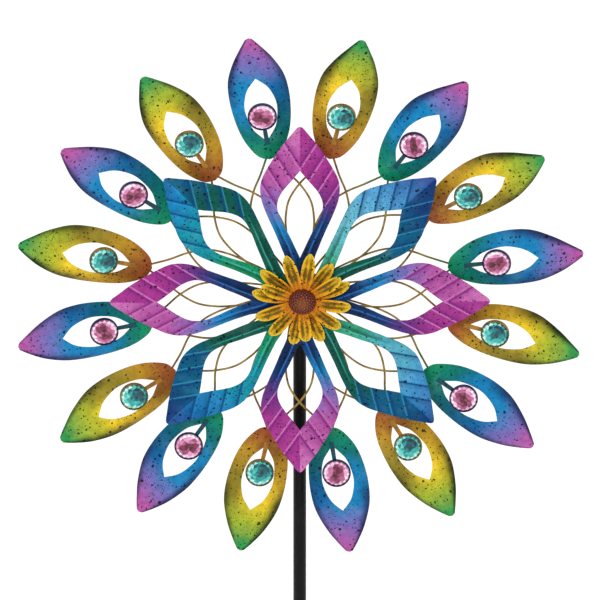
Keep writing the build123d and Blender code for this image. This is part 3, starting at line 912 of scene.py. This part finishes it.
for number in range(petal_count):
    colour = "teal" if number % 2 else "magenta"
    paint = teal_petal_paint if number % 2 else magenta_petal_paint
    points, faces, attributes = petal_shell(number)
    build = Build()
    build.add(points, faces, **attributes)
    node = f"{colour}_petal_{number // 2 + 1}"
    build.piece(f"painted_{node}", paint, "front_wheel", f"{colour}_petal_paint", [node], 30)

# Daisy

daisy_front_petals = [
    (342, 56), (9, 56), (56, 49), (97, 52), (127, 51), (175, 47), (222, 52), (250, 53), (293, 47)]
daisy_back_petals = [(37, 53), (69, 54), (156, 53), (191, 53), (280, 54), (308, 56)]
strap_half_width = 7.1
strap_front_limit = 56.0
daisy_sheet = 0.8


def flower_points(x, out, forward, angle):
    """Wheel points for the flower, which is screwed on a little off centre."""
    shift = [flower_offset[0] * millimetre, 0, flower_offset[1] * millimetre]
    return wheel_points(x, out, forward, angle) + shift


def strap_shell(angle, reach, base_forward, lift, seed):
    """One daisy petal: a grooved strap with a rounded end, curling a little at its tip."""
    s = np.linspace(0, 1, 26)
    w = np.linspace(-1, 1, 17)
    grid_s, grid_w = [g.ravel() for g in np.meshgrid(s, w, indexing="ij")]
    width = np.interp(s, [0, 0.2, 0.4, 0.58, 0.72, 0.84, 0.93, 0.98, 1.0],
                      [0.60, 0.76, 0.93, 1.0, 0.98, 0.84, 0.60, 0.34, 0.14])
    half = strap_half_width * np.repeat(width, len(w))
    x = grid_w * half
    out = strap_start + (reach - strap_start) * grid_s
    fullness = half / strap_half_width
    ridges = 0.5 * np.cos(2.6 * pi * grid_w) * fullness
    cup = 2.6 * grid_w**2 * fullness
    forward = base_forward + lift * np.sin(grid_s * pi * 0.62) - 2.2 * grid_s**4 + cup + ridges
    forward = np.minimum(forward, strap_front_limit)
    groove = np.clip((0.92 - np.abs(grid_w)) * 2.2, 0, 1) * (0.75 - 0.25 * np.cos(2.6 * pi * grid_w))
    flat = np.column_stack([x + 200.0 * seed, out, np.zeros(len(x))]) * millimetre
    front = flower_points(x, out, forward, angle)
    back = flower_points(x, out, forward - daisy_sheet, angle)
    rows, columns = len(s), len(w)
    count = rows * columns
    faces = []
    for i in range(rows - 1):
        for k in range(columns - 1):
            a = i * columns + k
            faces.append((a, a + 1, a + columns + 1, a + columns))
            faces.append((count + a, count + a + columns, count + a + columns + 1, count + a + 1))
    edge = list(range(columns)) + [i * columns + columns - 1 for i in range(1, rows)]
    edge += [(rows - 1) * columns + k for k in range(columns - 2, -1, -1)]
    edge += [i * columns for i in range(rows - 2, 0, -1)]
    for a, b in zip(edge, edge[1:] + edge[:1]):
        faces.append((a, count + a, count + b, b))
    values = {
        "flat_place": np.vstack([flat, flat]),
        "along": np.tile(grid_s, 2),
        "groove": np.tile(groove, 2),
    }
    return np.vstack([front, back]), faces, values


def disc_shell(radius, forward, seed):
    """The plate the straps spring from."""
    hole, back = daisy_hole_radius, forward - daisy_sheet
    profile = [(hole, back), (radius, back), (radius, forward), (hole, forward)]
    points, faces = lathe(profile, 48)
    flat = points * millimetre + [0, 10 + seed, 0]
    values = {
        "flat_place": flat,
        "along": np.full(len(points), 0.2),
        "groove": np.full(len(points), 0.3),
    }
    return flower_points(*points.T, 0), faces, values


daisy_finish = daisy_paint()
for name, node, petals, forward, lift in (
    ("daisy_back_layer", "flower_back", daisy_back_petals, daisy_back_forward + 1.0, 0.6),
    ("daisy_front_layer", "flower_front", daisy_front_petals, daisy_front_forward + 1.4, 3.2),
):
    layer = Build()
    points, faces, values = disc_shell(18.0, forward, forward)
    layer.add(points, faces, **values)
    for k, (angle, reach) in enumerate(petals):
        points, faces, values = strap_shell(angle, reach, forward, lift, k + forward)
        layer.add(points, faces, **values)
    layer.piece(name, daisy_finish, "front_wheel", "flower_paint", [node], 50)


def seed_head():
    """A dome of seeds set in a spiral, each a small bump, hollow over the axle's end."""
    seed_count = 149
    seeds = np.arange(1, seed_count + 1)
    golden = pi * (3 - np.sqrt(5))
    seed_r = np.sqrt(seeds / seed_count)
    seed_xy = np.column_stack([seed_r * np.sin(seeds * golden), seed_r * np.cos(seeds * golden)])
    seed_size = 0.058
    rings, segments = 44, 132
    base = seed_base_forward
    points, heights, reach = [], [], []
    for j in range(1, rings + 1):
        share = j / rings
        polar = share * pi / 2
        for i in range(segments):
            turn = 2 * pi * i / segments
            flat = np.array([sin(polar) * sin(turn), sin(polar) * cos(turn)])
            spot = flat / max(sin(polar), 1e-6) * share
            nearest = np.sqrt(((seed_xy - spot) ** 2).sum(axis=1)).min()
            uneven = 0.55 + 0.45 * sin(41 * spot[0]) * sin(37 * spot[1])
            height = max(0.0, 1 - (nearest / seed_size) ** 2) * uneven
            dip = 1 - 0.10 * np.exp(-((share / 0.3) ** 2))
            radius = dome_radius - 0.3 + 0.6 * height
            rise = (dome_height - 1.2 + 0.9 * height) * dip
            points.append((flat[0] * radius, flat[1] * radius, base + cos(polar) * rise))
            heights.append(height)
            reach.append(share)
    top = (0, 0, base + (dome_height - 1.2) * 0.9)
    turns = np.arange(segments) * 2 * pi / segments
    for level in (base, seed_hollow_forward):
        points += [(seed_hollow_radius * sin(t), seed_hollow_radius * cos(t), level) for t in turns]
    inside = 2 * segments + 1
    points = np.array([top] + points + [(0, 0, seed_hollow_forward)])
    heights = np.array([0.5] + heights + [0.0] * inside)
    reach = np.array([0.0] + reach + [1.0] * inside)
    faces = [(0, 1 + i, 1 + (i + 1) % segments) for i in range(segments)]
    for j in range(rings + 1):
        for i in range(segments):
            n = (i + 1) % segments
            a, b = 1 + j * segments + i, 1 + j * segments + n
            faces.append((a, b, b + segments, a + segments))
    last = 1 + (rings + 1) * segments
    bottom = len(points) - 1
    faces += [(last + i, bottom, last + (i + 1) % segments) for i in range(segments)]
    return points, faces, {"seed": heights, "along": reach}


points, faces, values = seed_head()
head = Build()
head.add(flower_points(*points.T, 0), faces, **values)
head.piece("seed_head", seed_paint(), "front_wheel", "flower_centre_paint", ["flower_centre"], 60)

# Finishes for the nodes kept from the frame

stake_finish = satin_black()
zinc = spotted_metal("zinc_plate", "9a9a98", "77787a", 0.34, 0.9, 0.15)
hub_finish = spotted_metal("antique_hub", "6e5424", "3e2f16", 0.42, 0.3, 0.8)
bushing_finish = spotted_metal("acetal", "dcdad2", "c4c2ba", 0.5, 0.0, 0.05)
slot_finish = {
    "stake_paint": stake_finish,
    "zinc_steel": zinc,
    "hub_paint": hub_finish,
    "bushing_plastic": bushing_finish,
}
node_slot = {part["node"]: part["material_slot"] for part in frame["record"]["subparts"]}
for node, kept in frame["nodes"].items():
    if node_slot[node] in slot_finish:
        kept.data.materials.clear()
        kept.data.materials.append(slot_finish[node_slot[node]])

# Floor, light and camera


def make_floor():
    """A wide pale ground plane under the prongs."""
    low = cad_box[0].z
    size = 30.0
    mesh = bpy.data.meshes.new("floor")
    corners = [(-size, -size, low), (size, -size, low), (size, size, low), (-size, size, low)]
    mesh.from_pydata(corners, [], [(0, 1, 2, 3)])
    finish = Finish("pale_floor", roughness=0.9, specular=0.1)
    shade = finish.span(finish.noise(finish.place(), 900), 0.3, 0.7)
    finish.colour(finish.mix(shade, "f7f7f7", "fbfbfb"))
    finish.shader.inputs["Emission Color"].default_value = (1, 1, 1, 1)
    finish.shader.inputs["Emission Strength"].default_value = 0.25
    mesh.materials.append(finish.material)
    floor = bpy.data.objects.new("floor", mesh)
    bpy.context.scene.collection.objects.link(floor)


def make_light(name, place, size, power):
    """A soft area light aimed at the wheels."""
    light = bpy.data.lights.new(name, "AREA")
    light.size = size
    light.energy = power
    made = bpy.data.objects.new(name, light)
    made.location = place
    aim = Vector((0, 0, hub_height)) - Vector(place)
    made.rotation_mode = "QUATERNION"
    made.rotation_quaternion = aim.to_track_quat("-Z", "Y")
    bpy.context.scene.collection.objects.link(made)


def make_camera():
    """A long lens looking a little down at the wheels."""
    azimuth, elevation, distance = radians(-0.4), radians(24.8), 6.3
    camera = bpy.data.cameras.new("camera")
    camera.lens = 356.0
    camera.sensor_width = 36.0
    made = bpy.data.objects.new("camera", camera)
    back = Vector((
        sin(azimuth) * cos(elevation), -cos(azimuth) * cos(elevation), sin(elevation)
    ))
    target = Vector((0, -0.044, hub_height + 0.0025))
    made.location = target + back * distance
    made.rotation_mode = "QUATERNION"
    made.rotation_quaternion = (-back).to_track_quat("-Z", "Y")
    bpy.context.scene.collection.objects.link(made)
    bpy.context.scene.camera = made


make_floor()
make_light("key_light", (-1.6, -2.6, 3.2), 1.0, 36.0)
make_light("fill_light", (2.2, -2.4, 1.8), 2.0, 8.0)
make_camera()

world = bpy.data.worlds.new("studio")
world.use_nodes = True
world.node_tree.nodes["Background"].inputs["Color"].default_value = (1, 1, 1, 1)
world.node_tree.nodes["Background"].inputs["Strength"].default_value = 0.86
bpy.context.scene.world = world
bpy.context.scene.view_settings.view_transform = "Standard"
